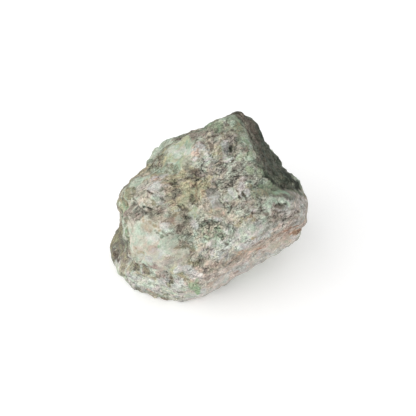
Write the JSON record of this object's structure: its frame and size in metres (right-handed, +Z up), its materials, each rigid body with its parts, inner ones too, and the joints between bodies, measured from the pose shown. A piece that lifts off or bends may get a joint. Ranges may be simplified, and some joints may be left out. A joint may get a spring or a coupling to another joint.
{
  "type": "rough turquoise specimen",
  "caption": "Rough turquoise: an irregular broken stone with faces, ledges, pits and cracks, pale green in buff and brown host rock, lying on a flat patch.",
  "frame": {"origin": "on the surface that the stone rests on, at the middle of its bounding box", "axes": "+Z up from the flat patch that the stone lies on; +X along the stone's longest extent, towards the end with the dark broken face; -Y towards the side with the big smooth bulge"},
  "size_m": [0.0766, 0.0674, 0.0599],
  "materials": {
    "turquoise_in_matrix": "dry broken stone: mottled pale mint green, buff, pinkish tan and grey-brown, matt, with dark specks and pits"
  },
  "bodies": {
    "root": {"turquoise_stone": "turquoise_in_matrix"}
  },
  "joints": []
}
